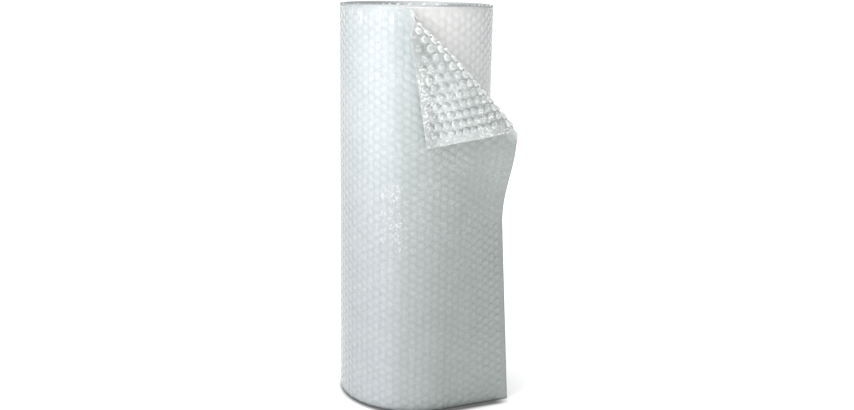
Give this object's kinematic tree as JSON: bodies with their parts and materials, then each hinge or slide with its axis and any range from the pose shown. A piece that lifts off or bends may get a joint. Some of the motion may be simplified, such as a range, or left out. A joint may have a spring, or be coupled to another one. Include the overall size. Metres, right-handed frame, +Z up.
{
  "type": "bubble wrap roll",
  "caption": "Coreless roll of small-bubble wrap standing on its end, with a loose outer end whose top corner is folded over outwards.",
  "frame": {"origin": "axis of the roll's open centre, at the lower end that it stands on", "axes": "+Z up the roll's axis, -Y towards the front of the picture, +X towards the loose end"},
  "size_m": [0.2212, 0.2247, 0.5002],
  "materials": {
    "film": "glossy, milky and slightly see-through"
  },
  "bodies": {
    "root": {"wound_sheet": "film"}
  },
  "joints": []
}
